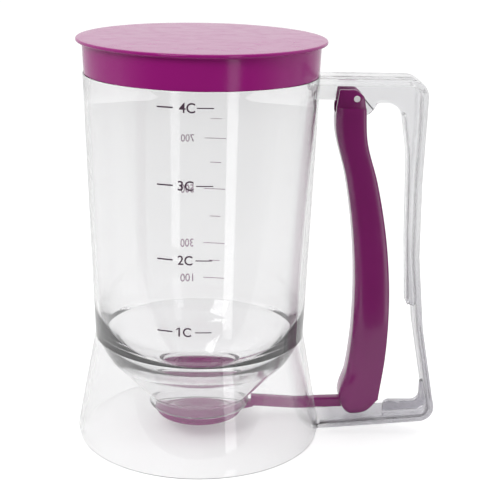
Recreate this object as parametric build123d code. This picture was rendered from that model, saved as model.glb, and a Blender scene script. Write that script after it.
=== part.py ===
"""Pancake batter dispenser: clear funnel jug on an open stand, press-on cap, squeeze trigger and valve.

Millimetres, +Z up. The origin is on the jug's axis, in the plane that the stand's foot rests on.
The handle points along +X, and the whole dispenser is alike on both sides of the plane Y = 0.
"""

from build123d import *
import os
from math import atan2, cos, degrees, radians, tan

# jug wall
WALL = 2.1                  # thickness of the jug wall
JUG_TOP_RADIUS = 52.3       # outer radius at the shoulder under the cap
JUG_WAIST_RADIUS = 48.45    # outer radius where jug, funnel and stand meet
SHOULDER_Z = 169.7          # the cap's skirt sits here
WAIST_Z = 49.3
WALL_FOOT_Z = 61.0          # the straight wall gives way to the funnel's curve
RIM_Z = 183.0               # top of the recessed rim, inside the cap
RIM_RADIUS = 50.1           # outer radius of the recessed rim
RIM_WALL = 1.9

# funnel and outlet
STAND_SEAM_Z = 46.6         # the stand hangs from the funnel's outer ring here
CONE_ANGLE = 54.4           # steepness of the funnel's upper cone
CONE_END_RADIUS = 32.2
NECK_RADIUS = 23.6
NECK_TOP_Z = 18.6
OUTLET_RADIUS = 20.2
OUTLET_Z = 13.4             # lower rim of the outlet neck, where the valve closes
FUNNEL_WALL = 3.4           # thick where it leaves the jug wall
FUNNEL_FLOOR = 2.6          # thinner towards the outlet

# stand
STAND_WALL = 2.4
FOOT_RADIUS = 57.1
FOOT_EDGE_RADIUS = 56.4     # the part of the foot that touches the table
FOOT_Z = 3.0

# handle
HANDLE_WIDTH = 20.0
TOP_BAR_Z = 169.2           # upper face of the handle's top bar
TOP_BAR_THICKNESS = 3.3
TOP_CORNER_X = 99.9
GRIP_THICKNESS = 2.7
GRIP_BEND_X = 98.3          # the grip's outer line bends here, in a long curve
GRIP_BEND_Z = 70.0
GRIP_BEND_RADIUS = 430.0
GRIP_LEAN = 13.0            # from upright, below the bend
LOW_BAR_Z = 1.0             # underside of the lower bar, carried on to X = 40
LOW_BAR_RISE = 4.6          # the lower bar climbs outwards, in degrees
LOW_BAR_THICKNESS = 2.4
WEB_THICKNESS = 3.0
WEB_LOWER_Z = 158.2         # lower edge of the web beside the jug
ARCH_TOP_Z = 157.3
WEB_GRIP_X = 94.0           # inner edge of the web along the grip
WEB_END_Z = 63.0
BEAD_WIDTH = 8.0
BEAD_THICKNESS = 1.6
GUSSET_START_X = 88.2
GUSSET_Z = 13.2             # upper edge of the lower web

# pivot
PIVOT_X = 68.4
PIVOT_Z = 159.8
PIN_RADIUS = 1.6
PIN_CLEARANCE = 0.05
LOBE_X = 69.5               # round lobe of the web that holds the pin
LOBE_Z = 159.3
LOBE_RADIUS = 8.8

# trigger
LEVER_WIDTH = 17.6
LEVER_WALL = 2.3
CHANNEL_WIDTH = 11.6        # the channel swallows the web when the trigger is squeezed
EAR_SLOT_Z = 153.2          # above this the finger wall is open for the web's lobe
HEAD_Z = 155.8              # above this the head is narrower than the grip
HEAD_WIDTH = 12.6
HEAD_SLOT_WIDTH = 8.2
HEAD_TOP_Z = 163.8
FOOT_SLOT_WIDTH = 5.0       # lets the lower web into the foot
RIB_THICKNESS = 1.8
RIB_HEIGHTS = (45.0, 75.0, 105.0)

# valve
ARM_WIDTH = 4.6
ARM_HEIGHT = 5.0
ARM_ROOT_Z = 13.3           # middle of the arm beside the outlet neck
ARM_FOOT_Z = 12.8           # middle of the arm at the trigger's foot
ARM_KNEE_X = 46.0           # the arm is lowest here, inside the stand
ARM_KNEE_Z = 12.1
CUP_RADIUS = 20.0
CUP_BOTTOM_Z = 8.7
CUP_EDGE_Z = 12.0           # top of the cup's straight side
CUP_SLOPE = 23.0            # flatter than the valve's way out, so that it leaves the seat freely
CREST_RADIUS = 11.5         # the dish starts inside this
DISH_DEPTH = 2.6
CUP_WALL = 2.2
SEAL_THICKNESS = 1.0
SEAL_INNER_RADIUS = 15.0
SEAL_OUTER_RADIUS = 21.6

# cap
CAP_RADIUS = 55.1
CAP_TOP_Z = 185.0
CAP_FLANGE = 1.5
CAP_SKIRT_TOP_RADIUS = 52.4
CAP_SKIRT_LOW_RADIUS = 51.8
CAP_SKIRT_WALL = 1.4
CAP_PLUG_RADIUS = 47.7      # ring that dips inside the jug's rim
CAP_PLUG_WALL = 1.4
CAP_PLUG_DEPTH = 7.0

# return spring
WIRE_RADIUS = 0.3
COIL_RADIUS = 2.4
COIL_PITCH = 0.66
COIL_TURNS = 2              # whole turns, before the part turn between the two legs
SPRING_SIDE_Y = 1.9         # the coil starts beside the web and runs outwards
WEB_LEG_TIP = (8.0, -5.4)   # from the pin, (x, z)
WALL_LEG_TIP = (-6.2, -8.0)


def nearest(shape, x, y):
    """The outline's corner nearest to (x, y)."""
    return shape.vertices().sort_by_distance((x, y, 0))[0]


def outline(points, roundings=()):
    """A closed face through the points, with the named corners rounded: (x, y, radius)."""
    face = make_face(Polyline(*points, close=True))
    for x, y, radius in roundings:
        face = fillet(nearest(face, x, y), radius)
    return face


def turned(points, roundings=()):
    """A ring turned about the jug's axis from (radius, height) points."""
    return revolve(Plane.XZ * outline(points, roundings), axis=Axis.Z)


def plate(face, thickness):
    """A plate in the handle's mid-plane from an (x, z) face."""
    return extrude(Plane.XZ * face, amount=thickness / 2, both=True)


def jug_radius(z):
    """Outer radius of the tapered jug wall at height z."""
    taper = (JUG_TOP_RADIUS - JUG_WAIST_RADIUS) / (SHOULDER_Z - WAIST_Z)
    return JUG_WAIST_RADIUS + taper * (z - WAIST_Z)


def stand_radius(z):
    """Outer radius of the flared stand at height z."""
    flare = (FOOT_RADIUS - JUG_WAIST_RADIUS) / (WAIST_Z - FOOT_Z)
    return FOOT_RADIUS - flare * (z - FOOT_Z)


def jug_wall():
    rim_inside = RIM_RADIUS - RIM_WALL
    points = [
        (jug_radius(WALL_FOOT_Z), WALL_FOOT_Z),
        (JUG_TOP_RADIUS, SHOULDER_Z),
        (RIM_RADIUS, SHOULDER_Z),
        (RIM_RADIUS, RIM_Z),
        (rim_inside, RIM_Z),
        (rim_inside, SHOULDER_Z - 0.5),
        (JUG_TOP_RADIUS - WALL, SHOULDER_Z - 4.0),
        (jug_radius(WALL_FOOT_Z) - WALL, WALL_FOOT_Z),
    ]
    roundings = [
        (JUG_TOP_RADIUS, SHOULDER_Z, 0.6),
        (RIM_RADIUS, RIM_Z, 0.8),
        (rim_inside, RIM_Z, 0.8),
        (rim_inside, SHOULDER_Z - 0.5, 2.0),
        (JUG_TOP_RADIUS - WALL, SHOULDER_Z - 4.0, 2.0),
    ]
    return turned(points, roundings)


def jug_funnel():
    steep = tan(radians(CONE_ANGLE))
    seam_inside = stand_radius(STAND_SEAM_Z) - STAND_WALL
    cone_end_z = STAND_SEAM_Z - steep * (seam_inside - CONE_END_RADIUS)
    floor_rise = (cone_end_z - NECK_TOP_Z) / (CONE_END_RADIUS - NECK_RADIUS)
    inner_wall = jug_radius(WAIST_Z) - WALL
    lift = FUNNEL_WALL / cos(radians(CONE_ANGLE))
    inner_cone_z = STAND_SEAM_Z + steep * (inner_wall - seam_inside) + lift
    floor_lift = FUNNEL_FLOOR * (1 + floor_rise**2) ** 0.5
    bend = (lift - floor_lift) / (steep - floor_rise)
    bend_radius = CONE_END_RADIUS - bend
    bend_z = cone_end_z - steep * bend + lift
    bore_top_z = NECK_TOP_Z - floor_rise * (NECK_RADIUS - OUTLET_RADIUS) + floor_lift
    points = [
        (jug_radius(WALL_FOOT_Z), WALL_FOOT_Z),
        (JUG_WAIST_RADIUS, WAIST_Z),
        (stand_radius(STAND_SEAM_Z), STAND_SEAM_Z),
        (seam_inside, STAND_SEAM_Z),
        (CONE_END_RADIUS, cone_end_z),
        (NECK_RADIUS, NECK_TOP_Z),
        (NECK_RADIUS, OUTLET_Z),
        (OUTLET_RADIUS, OUTLET_Z),
        (OUTLET_RADIUS, bore_top_z),
        (bend_radius, bend_z),
        (inner_wall, inner_cone_z),
        (jug_radius(WALL_FOOT_Z) - WALL, WALL_FOOT_Z),
    ]
    roundings = [
        (CONE_END_RADIUS, cone_end_z, 25.0),
        (NECK_RADIUS, NECK_TOP_Z, 2.0),
        (NECK_RADIUS, OUTLET_Z, 1.0),
        (OUTLET_RADIUS, bore_top_z, 0.8),
        (bend_radius, bend_z, 20.0),
        (inner_wall, inner_cone_z, 16.0),
    ]
    return turned(points, roundings)


def stand_skirt():
    points = [
        (stand_radius(STAND_SEAM_Z), STAND_SEAM_Z),
        (FOOT_RADIUS, FOOT_Z),
        (FOOT_EDGE_RADIUS, 0),
        (stand_radius(0) - STAND_WALL, 0),
        (stand_radius(STAND_SEAM_Z) - STAND_WALL, STAND_SEAM_Z),
    ]
    skirt = turned(points, [(FOOT_RADIUS, FOOT_Z, 3.0)])
    slot_face = outline([(45, 7.0), (62, 7.0), (62, 16.6), (45, 16.6)])
    slot = extrude(Plane.XZ * slot_face, amount=ARM_WIDTH / 2 + 1.2, both=True)
    return skirt - fillet(slot.edges().filter_by(Axis.X, tolerance=10), 1.5)


def body_core():
    """The jug and stand as one filled form, for trimming the handle's ends to its surface."""
    return turned(
        [
            (0, -1),
            (stand_radius(-1), -1),
            (FOOT_RADIUS, FOOT_Z),
            (JUG_WAIST_RADIUS, WAIST_Z),
            (JUG_TOP_RADIUS, SHOULDER_Z),
            (0, SHOULDER_Z),
        ]
    )


def grip_line(top, side, low, corner, bend, foot):
    """The handle's path from the jug over the grip to the stand, moved inwards by the insets."""
    lean = tan(radians(GRIP_LEAN))
    rise = tan(radians(LOW_BAR_RISE))
    low_z = LOW_BAR_Z + low
    bend_x = GRIP_BEND_X - side
    reach = (GRIP_BEND_Z - low_z - rise * (bend_x - 40)) / (1 + rise * lean)
    foot_at = (bend_x + reach * lean, GRIP_BEND_Z - reach)
    top_z = TOP_BAR_Z - top
    path = [(40, top_z), (TOP_CORNER_X - side, top_z), (bend_x, GRIP_BEND_Z), foot_at, (40, low_z)]
    return FilletPolyline(*path, radius=[corner, bend, foot])


def handle_outer_face():
    outer = grip_line(0, 0, 0, 8.3, GRIP_BEND_RADIUS, 7.0)
    return make_face([outer, Line(outer @ 1, outer @ 0)])


def handle_inner_face():
    inset_bend = GRIP_BEND_RADIUS + GRIP_THICKNESS
    inner = grip_line(TOP_BAR_THICKNESS, GRIP_THICKNESS, LOW_BAR_THICKNESS, 6.0, inset_bend, 5.0)
    return make_face([inner, Line(inner @ 1, inner @ 0)])


def handle_flange():
    band = plate(handle_outer_face() - handle_inner_face(), HANDLE_WIDTH)
    sides = band.faces().filter_by(Axis.Y)
    band = fillet(sides.edges().filter_by(lambda e: abs(e.center().X - 40) > 1), 0.9)
    return band - body_core()


def hand_opening():
    """The arched opening that the fingers pass through, as an (x, z) face."""
    points = [
        (30, WEB_LOWER_Z),
        (LOBE_X + 4, WEB_LOWER_Z),
        (LOBE_X + 4, ARCH_TOP_Z),
        (88.8, ARCH_TOP_Z),
        (WEB_GRIP_X - 1.2, 134.0),
        (WEB_GRIP_X, 97.0),
        (WEB_GRIP_X + 2.2, WEB_END_Z),
        (130, WEB_END_Z - 4.0),
        (130, 10.0),
        (30, 10.0),
    ]
    roundings = [
        (88.8, ARCH_TOP_Z, 8.0),
        (WEB_GRIP_X - 1.2, 134.0, 60.0),
        (WEB_GRIP_X, 97.0, 80.0),
        (WEB_GRIP_X + 2.2, WEB_END_Z, 2.5),
    ]
    opening = outline(points, roundings) - Pos(LOBE_X, LOBE_Z) * Circle(LOBE_RADIUS)
    corner = (LOBE_X + (LOBE_RADIUS**2 - (LOBE_Z - ARCH_TOP_Z) ** 2) ** 0.5, ARCH_TOP_Z)
    return fillet(nearest(opening, *corner), 3.0)


def handle_web():
    opening = hand_opening()
    web = plate(handle_inner_face() - opening, WEB_THICKNESS)
    web = web & Pos(90, 0, 110) * Box(100, 20, 110)
    edge = (offset(opening, BEAD_THICKNESS) - opening) & Pos(LOBE_X + 16.6, 108) * Rectangle(20, 90)
    bead = plate(edge & handle_inner_face(), BEAD_WIDTH)
    pin_hole = Pos(PIVOT_X, 0, PIVOT_Z) * Rot(90, 0, 0) * Cylinder(PIN_RADIUS, 20)
    return web + bead - pin_hole - body_core()


def grip_gusset():
    points = [
        (GUSSET_START_X, 0),
        (GUSSET_START_X, GUSSET_Z),
        (105.4, GUSSET_Z),
        (105.4, 23.0),
        (125, 23.0),
        (125, 0),
    ]
    face = outline(points, [(105.4, GUSSET_Z, 4.0), (GUSSET_START_X, GUSSET_Z, 3.0)])
    return plate(face & handle_inner_face(), WEB_THICKNESS)


def pivot_pin():
    pin = Rot(90, 0, 0) * Cylinder(PIN_RADIUS, HEAD_WIDTH + 0.4)
    return Pos(PIVOT_X, 0, PIVOT_Z) * chamfer(pin.edges(), 0.3)


def lever_front():
    """The finger face of the trigger, from the head down to the foot."""
    points = [(59.6, 147.0), (65.4, 123.2), (70.1, 92.7), (71.6, 65.0), (69.4, 30.0), (66.6, 15.4)]
    return Spline((59.5, HEAD_Z), *points)


def lever_back():
    """The palm side of the trigger, from the foot up to the head."""
    points = [(84.6, 17.0), (87.0, 38.0), (87.6, 58.0), (84.9, 93.5), (79.2, 122.2), (73.6, 142.0)]
    return Spline(*points, (72.6, HEAD_Z))


def lever_face():
    front = lever_front()
    back = lever_back()
    foot = Spline(front @ 1, (70.5, 8.8), (78.2, 9.0), back @ 0, tangents=[front % 1, back % 0])
    return make_face([front, foot, back, Line(back @ 1, front @ 0)])


def head_face():
    points = [
        (59.5, HEAD_Z - 1),
        (59.5, HEAD_Z),
        (60.9, HEAD_TOP_Z),
        (68.4, HEAD_TOP_Z),
        (71.8, 160.6),
        (72.6, HEAD_Z),
        (72.6, HEAD_Z - 1),
    ]
    return outline(points, [(68.4, HEAD_TOP_Z, 3.5), (71.8, 160.6, 3.0)])


def channel_face():
    """The hollow behind the finger face, open to the palm."""
    front = Pos(LEVER_WALL, 0) * lever_front()
    rest = Polyline(front @ 1, (70.4, 11.4), (110, 11.4), (110, HEAD_Z), front @ 0)
    return fillet(nearest(make_face([front, rest]), 70.4, 11.4), 3.0)


def trigger_lever():
    body = plate(lever_face(), LEVER_WIDTH)
    sides = body.faces().filter_by(Axis.Y)
    finger_edges = sides.edges().filter_by(lambda e: e.length > 100 and e.center().X < 74)
    body = fillet(finger_edges, 4.5)
    channel = plate(channel_face(), CHANNEL_WIDTH)
    head_room = Pos(PIVOT_X, 0, EAR_SLOT_Z + 10) * Box(30, HEAD_SLOT_WIDTH, 20)
    foot_room = Pos(87, 0, 8) * Box(30.4, FOOT_SLOT_WIDTH, 16)
    lever = body + plate(head_face(), HEAD_WIDTH) - channel - head_room - foot_room
    for z in RIB_HEIGHTS:
        rib = Pos(76, 0, z) * Box(14, CHANNEL_WIDTH, RIB_THICKNESS)
        lever = lever + (rib & plate(channel_face() & lever_face(), CHANNEL_WIDTH))
    hole = Rot(90, 0, 0) * Cylinder(PIN_RADIUS + PIN_CLEARANCE, 40)
    return lever - Pos(PIVOT_X, 0, PIVOT_Z) * hole


def valve_cup():
    crest_z = CUP_EDGE_Z + (CUP_RADIUS - CREST_RADIUS) * tan(radians(CUP_SLOPE))
    dish_z = crest_z - DISH_DEPTH
    points = [
        (0, dish_z),
        (CREST_RADIUS - 3.5, dish_z),
        (CREST_RADIUS, crest_z),
        (CUP_RADIUS, CUP_EDGE_Z),
        (CUP_RADIUS, CUP_BOTTOM_Z),
        (CUP_RADIUS - CUP_WALL, CUP_BOTTOM_Z),
        (CUP_RADIUS - CUP_WALL, CUP_EDGE_Z - 1.4),
        (CREST_RADIUS, dish_z - CUP_WALL),
        (0, dish_z - CUP_WALL),
    ]
    roundings = [
        (CREST_RADIUS - 3.5, dish_z, 2.0),
        (CREST_RADIUS, crest_z, 0.8),
        (CUP_RADIUS, CUP_EDGE_Z, 0.8),
        (CUP_RADIUS, CUP_BOTTOM_Z, 0.8),
    ]
    return turned(points, roundings)


def valve_seal():
    slope = tan(radians(CUP_SLOPE))
    low = CUP_EDGE_Z - (SEAL_OUTER_RADIUS - CUP_RADIUS) * slope
    high = CUP_EDGE_Z + (CUP_RADIUS - SEAL_INNER_RADIUS) * slope
    return turned(
        [
            (SEAL_OUTER_RADIUS, low),
            (SEAL_OUTER_RADIUS, low + SEAL_THICKNESS),
            (SEAL_INNER_RADIUS, high + SEAL_THICKNESS),
            (SEAL_INNER_RADIUS, high),
        ]
    )


def valve_arm():
    points = [
        (CUP_RADIUS - 1.0, CUP_BOTTOM_Z + 0.2),
        (CUP_RADIUS - 1.0, CUP_EDGE_Z - 1.2),
        (SEAL_OUTER_RADIUS + 0.6, CUP_EDGE_Z - 1.2),
        (SEAL_OUTER_RADIUS + 0.6, OUTLET_Z - 0.6),
        (NECK_RADIUS + 1.2, OUTLET_Z - 0.6),
        (NECK_RADIUS + 1.2, ARM_ROOT_Z + ARM_HEIGHT / 2),
        (ARM_KNEE_X, ARM_KNEE_Z + ARM_HEIGHT / 2),
        (75, ARM_FOOT_Z + ARM_HEIGHT / 2),
        (75, ARM_FOOT_Z - ARM_HEIGHT / 2),
        (ARM_KNEE_X, ARM_KNEE_Z - ARM_HEIGHT / 2),
        (NECK_RADIUS + 4.0, ARM_ROOT_Z - ARM_HEIGHT / 2),
    ]
    arm = plate(outline(points), ARM_WIDTH)
    long_edges = arm.edges().filter_by(lambda e: e.length > 18 and e.center().X > 30)
    arm = fillet(long_edges, 0.9)
    return arm - plate(lever_face(), LEVER_WIDTH)


def leg_angle(tip, side):
    """Where on the coil a leg to the tip leaves at a tangent, in degrees."""
    reach = (tip[0] ** 2 + tip[1] ** 2) ** 0.5
    length = (reach**2 - COIL_RADIUS**2) ** 0.5
    return degrees(atan2(tip[1], tip[0]) - side * atan2(length, COIL_RADIUS))


def return_spring():
    """Torsion spring: a coil round the pin with one leg on the web and one on the finger wall."""
    start = leg_angle(WEB_LEG_TIP, -1)
    turns = COIL_TURNS + (leg_angle(WALL_LEG_TIP, 1) - start) % 360 / 360
    coil = Rot(0, 0, start) * Helix(COIL_PITCH, COIL_PITCH * turns, COIL_RADIUS)
    first = coil @ 0
    last = coil @ 1
    web_leg = Line(Vector(*WEB_LEG_TIP, first.Z), first)
    wall_leg = Line(last, Vector(*WALL_LEG_TIP, last.Z))
    path = Wire([web_leg.edge(), coil.edge(), wall_leg.edge()])
    section = Plane(origin=web_leg @ 0, z_dir=web_leg % 0) * Circle(WIRE_RADIUS)
    wire = sweep(section, path=path)
    return Pos(PIVOT_X, -SPRING_SIDE_Y, PIVOT_Z) * Rot(90, 0, 0) * wire


def lid_cap():
    under = CAP_TOP_Z - CAP_FLANGE
    skirt_inside = CAP_SKIRT_TOP_RADIUS - CAP_SKIRT_WALL
    plug_inside = CAP_PLUG_RADIUS - CAP_PLUG_WALL
    points = [
        (0, CAP_TOP_Z),
        (CAP_RADIUS, CAP_TOP_Z),
        (CAP_RADIUS, under),
        (CAP_SKIRT_TOP_RADIUS, under),
        (CAP_SKIRT_LOW_RADIUS, SHOULDER_Z),
        (CAP_SKIRT_LOW_RADIUS - CAP_SKIRT_WALL, SHOULDER_Z),
        (skirt_inside, under - 0.2),
        (CAP_PLUG_RADIUS, under - 0.2),
        (CAP_PLUG_RADIUS - 0.3, under - CAP_PLUG_DEPTH),
        (plug_inside - 0.3, under - CAP_PLUG_DEPTH),
        (plug_inside, under),
        (0, under),
    ]
    roundings = [
        (CAP_RADIUS, CAP_TOP_Z, 0.7),
        (CAP_RADIUS, under, 0.6),
        (CAP_SKIRT_TOP_RADIUS, under, 0.8),
    ]
    return turned(points, roundings)


def main():
    cup = valve_cup()
    arm = valve_arm()
    pieces = {
        "jug_wall": jug_wall(),
        "jug_funnel": jug_funnel(),
        "stand_skirt": stand_skirt(),
        "handle_flange": handle_flange(),
        "handle_web": handle_web(),
        "grip_gusset": grip_gusset(),
        "pivot_pin": pivot_pin(),
        "return_spring": return_spring(),
        "trigger_lever": trigger_lever(),
        "valve_arm": arm - cup,
        "valve_cup": cup,
        "valve_seal": valve_seal(),
        "lid_cap": lid_cap(),
    }
    os.makedirs("parts", exist_ok=True)
    for name, solid in pieces.items():
        solid.label = name
        export_step(solid, f"parts/{name}.step")
        print(name, round(solid.volume, 1))


main()
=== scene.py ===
import math

import bmesh
import bpy
import numpy as np
from mathutils import Matrix, Vector


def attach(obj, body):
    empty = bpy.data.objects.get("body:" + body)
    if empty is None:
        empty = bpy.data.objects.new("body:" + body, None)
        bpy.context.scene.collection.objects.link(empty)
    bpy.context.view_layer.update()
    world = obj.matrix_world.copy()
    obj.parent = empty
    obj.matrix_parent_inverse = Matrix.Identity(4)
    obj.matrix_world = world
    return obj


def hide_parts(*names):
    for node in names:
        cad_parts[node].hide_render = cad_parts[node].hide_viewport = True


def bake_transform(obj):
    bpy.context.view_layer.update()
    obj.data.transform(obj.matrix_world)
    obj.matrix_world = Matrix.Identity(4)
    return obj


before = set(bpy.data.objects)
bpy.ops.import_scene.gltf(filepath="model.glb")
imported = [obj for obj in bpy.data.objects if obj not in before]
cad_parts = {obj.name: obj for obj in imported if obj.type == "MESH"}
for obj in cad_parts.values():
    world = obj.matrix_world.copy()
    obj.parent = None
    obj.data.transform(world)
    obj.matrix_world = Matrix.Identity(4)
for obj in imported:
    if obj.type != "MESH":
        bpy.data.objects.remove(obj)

scene = bpy.context.scene
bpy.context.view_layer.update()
mm = 0.001          # every size below is in millimetres
smallRound = 1.5    # rounds up to this radius are drawn in steps of at least smallStep degrees
smallStep = 11.0
quarter = np.radians([0, 30, 60, 90])       # the points of a plate's rounded edge
noiseRange = (0.3, 0.7)                     # most of the noise lies between these two
print("frame loaded", sorted(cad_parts))


# shared shapes

# each corner (a, b, r) becomes an arc of radius r that touches both of its sides
def roundedLine(corners, closed=False, arcStep=7.0):
    points = np.array([c[:2] for c in corners], float)
    radii = [c[2] if len(c) > 2 else 0.0 for c in corners]
    count = len(points)
    line = []
    for i, (point, radius) in enumerate(zip(points, radii)):
        if radius <= 0 or (not closed and i in (0, count - 1)):
            line.append(point[None])
            continue
        toLast = points[i - 1] - point
        toNext = points[(i + 1) % count] - point
        toLast = toLast / np.linalg.norm(toLast)
        toNext = toNext / np.linalg.norm(toNext)
        half = math.acos(np.clip(toLast @ toNext, -1, 1)) / 2
        middle = (toLast + toNext) / np.linalg.norm(toLast + toNext)
        centre = point + middle * radius / math.sin(half)
        first = point + toLast * radius / math.tan(half) - centre
        turn = math.pi - 2 * half
        side = -np.sign(toLast[0] * toNext[1] - toLast[1] * toNext[0])
        step = arcStep if radius > smallRound else max(arcStep, smallStep)
        t = np.linspace(0, turn * side, max(3, math.ceil(math.degrees(turn) / step) + 1))
        x = first[0] * np.cos(t) - first[1] * np.sin(t)
        y = first[0] * np.sin(t) + first[1] * np.cos(t)
        line.append(centre + np.stack([x, y], 1))
    return np.concatenate(line)


# the same line with extra points, so that no stretch is longer than the step
def spaced(line, step, closed=False):
    ends = np.roll(line, -1, axis=0) if closed else line[1:]
    starts = line if closed else line[:-1]
    found = []
    for a, b in zip(starts, ends):
        parts = max(1, math.ceil(np.linalg.norm(b - a) / step))
        found.append(a + (b - a) * np.linspace(0, 1, parts, endpoint=False)[:, None])
    return np.concatenate(found + ([] if closed else [line[-1:]]))


# a line through the points: between two of them a cubic whose slope at each point is that of its neighbours
def smoothLine(points, count):
    points = np.array(points, float)
    gaps = np.linalg.norm(np.diff(points, axis=0), axis=1)
    at = np.concatenate([[0], np.cumsum(gaps)])
    slopes = np.gradient(points, at, axis=0)
    t = np.linspace(0, at[-1], count)
    i = np.clip(np.searchsorted(at, t, side="right") - 1, 0, len(gaps) - 1)
    gap = gaps[i][:, None]
    u = (t - at[i])[:, None] / gap
    return ((2 * u**3 - 3 * u**2 + 1) * points[i] + (u**3 - 2 * u**2 + u) * gap * slopes[i]
            + (3 * u**2 - 2 * u**3) * points[i + 1] + (u**3 - u**2) * gap * slopes[i + 1])


# count points at equal distances along a line
def evenly(line, count):
    at = np.concatenate([[0], np.cumsum(np.linalg.norm(np.diff(line, axis=0), axis=1))])
    t = np.linspace(0, at[-1], count)
    return np.stack([np.interp(t, at, line[:, k]) for k in range(line.shape[1])], 1)


# the unit vector a quarter turn to the right of a flat line's direction, at each of its points
def rightOf(line):
    along = np.gradient(line, axis=0)
    along = along / np.linalg.norm(along, axis=1)[:, None]
    return np.stack([along[:, 1], -along[:, 0]], 1)


# quads between the rows of a grid whose columns run round, and from its last row to its first if asked
def gridFaces(rows, columns, closeRows):
    i, j = np.meshgrid(np.arange(rows if closeRows else rows - 1), np.arange(columns), indexing="ij")
    i2, j2 = (i + 1) % rows, (j + 1) % columns
    quads = np.stack([i * columns + j, i2 * columns + j, i2 * columns + j2, i * columns + j2], -1)
    return quads.reshape(-1, 4).tolist()


# an outline of (radius, height) carried round the upright axis: x = r cos t, y = r sin t
def turned(outline, turns, closed=True):
    t = np.linspace(0, 2 * math.pi, turns, endpoint=False)
    r, z = outline[:, :1], outline[:, 1:2]
    grid = np.stack([r * np.cos(t), r * np.sin(t), z + 0 * t], -1)
    return grid.reshape(-1, 3), gridFaces(len(outline), turns, closed)


# a closed section (rows x points, 3) skinned along its rows, with a flat face over each end
def skinned(grid):
    rows, columns = grid.shape[:2]
    faces = gridFaces(rows, columns, False)
    faces.append(list(range(columns)))
    faces.append([(rows - 1) * columns + k for k in range(columns)])
    return grid.reshape(-1, 3), faces


# a flat closed (x, z) outline from y0 to y1, its rim rounded by insetting the outline towards both sides
def plate(outline, y0, y1, edge):
    line = np.array(outline)
    area = np.sum(line[:, 0] * np.roll(line[:, 1], -1) - line[:, 1] * np.roll(line[:, 0], -1))
    ahead, behind = np.roll(line, -1, axis=0) - line, line - np.roll(line, 1, axis=0)
    ahead = ahead / np.linalg.norm(ahead, axis=1)[:, None]
    behind = behind / np.linalg.norm(behind, axis=1)[:, None]
    along = ahead + behind
    along = along / np.linalg.norm(along, axis=1)[:, None]
    inward = np.stack([-along[:, 1], along[:, 0]], 1) * np.sign(area)
    inset = edge * (1 - np.sin(quarter))
    step = edge * (1 - np.cos(quarter))
    inset, across = np.concatenate([inset, inset[::-1]]), np.concatenate([y0 + step, y1 - step[::-1]])
    flat = line[None] + inward[None] * inset[:, None, None]
    y = np.broadcast_to(across[:, None], flat.shape[:2])
    return skinned(np.stack([flat[..., 0], y, flat[..., 1]], -1))


# a box over the rectangle from (x0, z0) to (x1, z1), the same width to either side of the handle's plane
def block(x0, z0, x1, z1, half, edge):
    return plate(np.array([(x0, z0), (x1, z0), (x1, z1), (x0, z1)]), -half, half, edge)


# a mesh from points in millimetres: doubles merged, faces turned outwards
def meshOf(name, shape):
    points, faces = shape
    mesh = bpy.data.meshes.new(name)
    mesh.from_pydata((np.asarray(points) * mm).tolist(), [], faces)
    work = bmesh.new()
    work.from_mesh(mesh)
    bmesh.ops.remove_doubles(work, verts=work.verts, dist=1e-7)
    bmesh.ops.recalc_face_normals(work, faces=work.faces)
    work.to_mesh(mesh)
    work.free()
    return mesh


# a new object at the origin from a shape's points and faces
def objectOf(name, shape):
    thing = bpy.data.objects.new(name, meshOf(name, shape))
    scene.collection.objects.link(thing)
    return thing


# joins or cuts with other shapes, and keeps the result as the object's own mesh
def combined(thing, shapes, operation):
    for shape in shapes:
        other = objectOf("tool", shape)
        step = thing.modifiers.new("step", "BOOLEAN")
        step.operation = operation
        step.solver = "EXACT"
        step.object = other
        bpy.context.view_layer.update()
        result = bpy.data.meshes.new_from_object(thing.evaluated_get(bpy.context.evaluated_depsgraph_get()))
        thing.modifiers.remove(step)
        thing.data = result
        bpy.data.objects.remove(other)


# gives a piece its material, faces smooth up to an angle, its body and the nodes it replaces
def finished(thing, material, body, nodes, smoothAngle=32.0):
    thing.data.materials.clear()
    thing.data.materials.append(material)
    thing.data.shade_smooth()
    thing.data.set_sharp_from_angle(angle=math.radians(smoothAngle))
    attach(thing, body)
    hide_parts(*nodes)


# materials

# a material with its node tree and its shader
def newMaterial(name):
    material = bpy.data.materials.new(name)
    material.use_nodes = True
    tree = material.node_tree
    return material, tree, tree.nodes["Principled BSDF"]


# one coordinate of a space: the object's own, or the directions of the world
def coordinate(tree, space, axis):
    place = tree.nodes.new("ShaderNodeTexCoord")
    parts = tree.nodes.new("ShaderNodeSeparateXYZ")
    tree.links.new(place.outputs[space], parts.inputs[0])
    return parts.outputs[axis]


# noise in the object's own coordinates
def noise(tree, scale, detail=3.0):
    place = tree.nodes.new("ShaderNodeTexCoord")
    texture = tree.nodes.new("ShaderNodeTexNoise")
    texture.inputs["Scale"].default_value = scale
    texture.inputs["Detail"].default_value = detail
    tree.links.new(place.outputs["Object"], texture.inputs["Vector"])
    return texture.outputs["Fac"]


# a value that goes from low to high as the source goes from start to end, and stays there outside them
def ramped(tree, source, start, end, low=0.0, high=1.0, kind="LINEAR"):
    node = tree.nodes.new("ShaderNodeMapRange")
    node.interpolation_type = kind
    node.inputs["From Min"].default_value = start
    node.inputs["From Max"].default_value = end
    node.inputs["To Min"].default_value = low
    node.inputs["To Max"].default_value = high
    tree.links.new(source, node.inputs["Value"])
    return node.outputs["Result"]


# a value from low to high over the range in which most of the noise lies
def ranged(tree, source, low, high):
    return ramped(tree, source, *noiseRange, low, high)


# arithmetic on up to three values, each a number or another node's output
def maths(tree, operation, *values, clamp=False):
    node = tree.nodes.new("ShaderNodeMath")
    node.operation = operation
    node.use_clamp = clamp
    for socket, value in zip(node.inputs, values):
        if isinstance(value, float):
            socket.default_value = value
        else:
            tree.links.new(value, socket)
    return node.outputs[0]


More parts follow.
